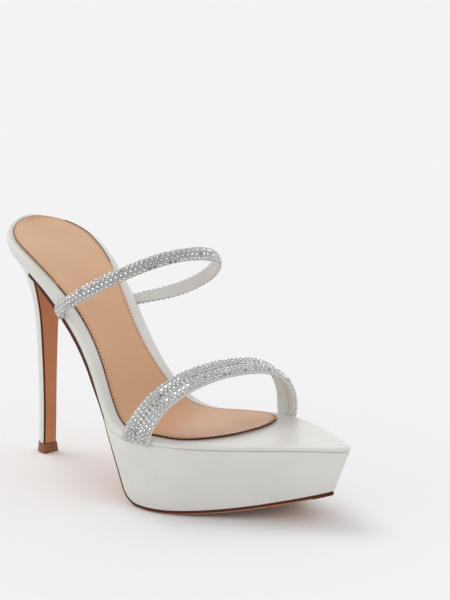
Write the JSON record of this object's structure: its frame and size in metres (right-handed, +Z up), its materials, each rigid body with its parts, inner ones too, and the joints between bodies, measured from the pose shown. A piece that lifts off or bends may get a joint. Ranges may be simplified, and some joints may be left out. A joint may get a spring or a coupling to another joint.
{
  "type": "platform sandal",
  "caption": "Right-foot open sandal with a pointed platform, slim high heel, crystal-covered toe strap and thin crystal instep strap.",
  "frame": {"origin": "middle of the shoe's bounding box, on the floor plane it stands on", "axes": "+X towards the toe tip, +Y to the medial (big toe) side, +Z up"},
  "size_m": [0.2358, 0.1018, 0.14],
  "materials": {
    "white_leather": "smooth off-white leather with a soft gloss",
    "tan_lining": "smooth tan lining leather, matt to satin",
    "sole_leather": "tan sole leather with a dark brown painted edge",
    "top_piece": "brown moulded polyurethane",
    "crystal_band": "padded silver band covered with clear crystals, lined in off-white leather"
  },
  "bodies": {
    "root": {"footbed": "white_leather", "insole_sock": "tan_lining", "platform": "white_leather", "outsole": "sole_leather", "heel": "white_leather", "top_piece": "top_piece", "front_strap": "crystal_band", "instep_strap": "crystal_band"}
  },
  "joints": []
}
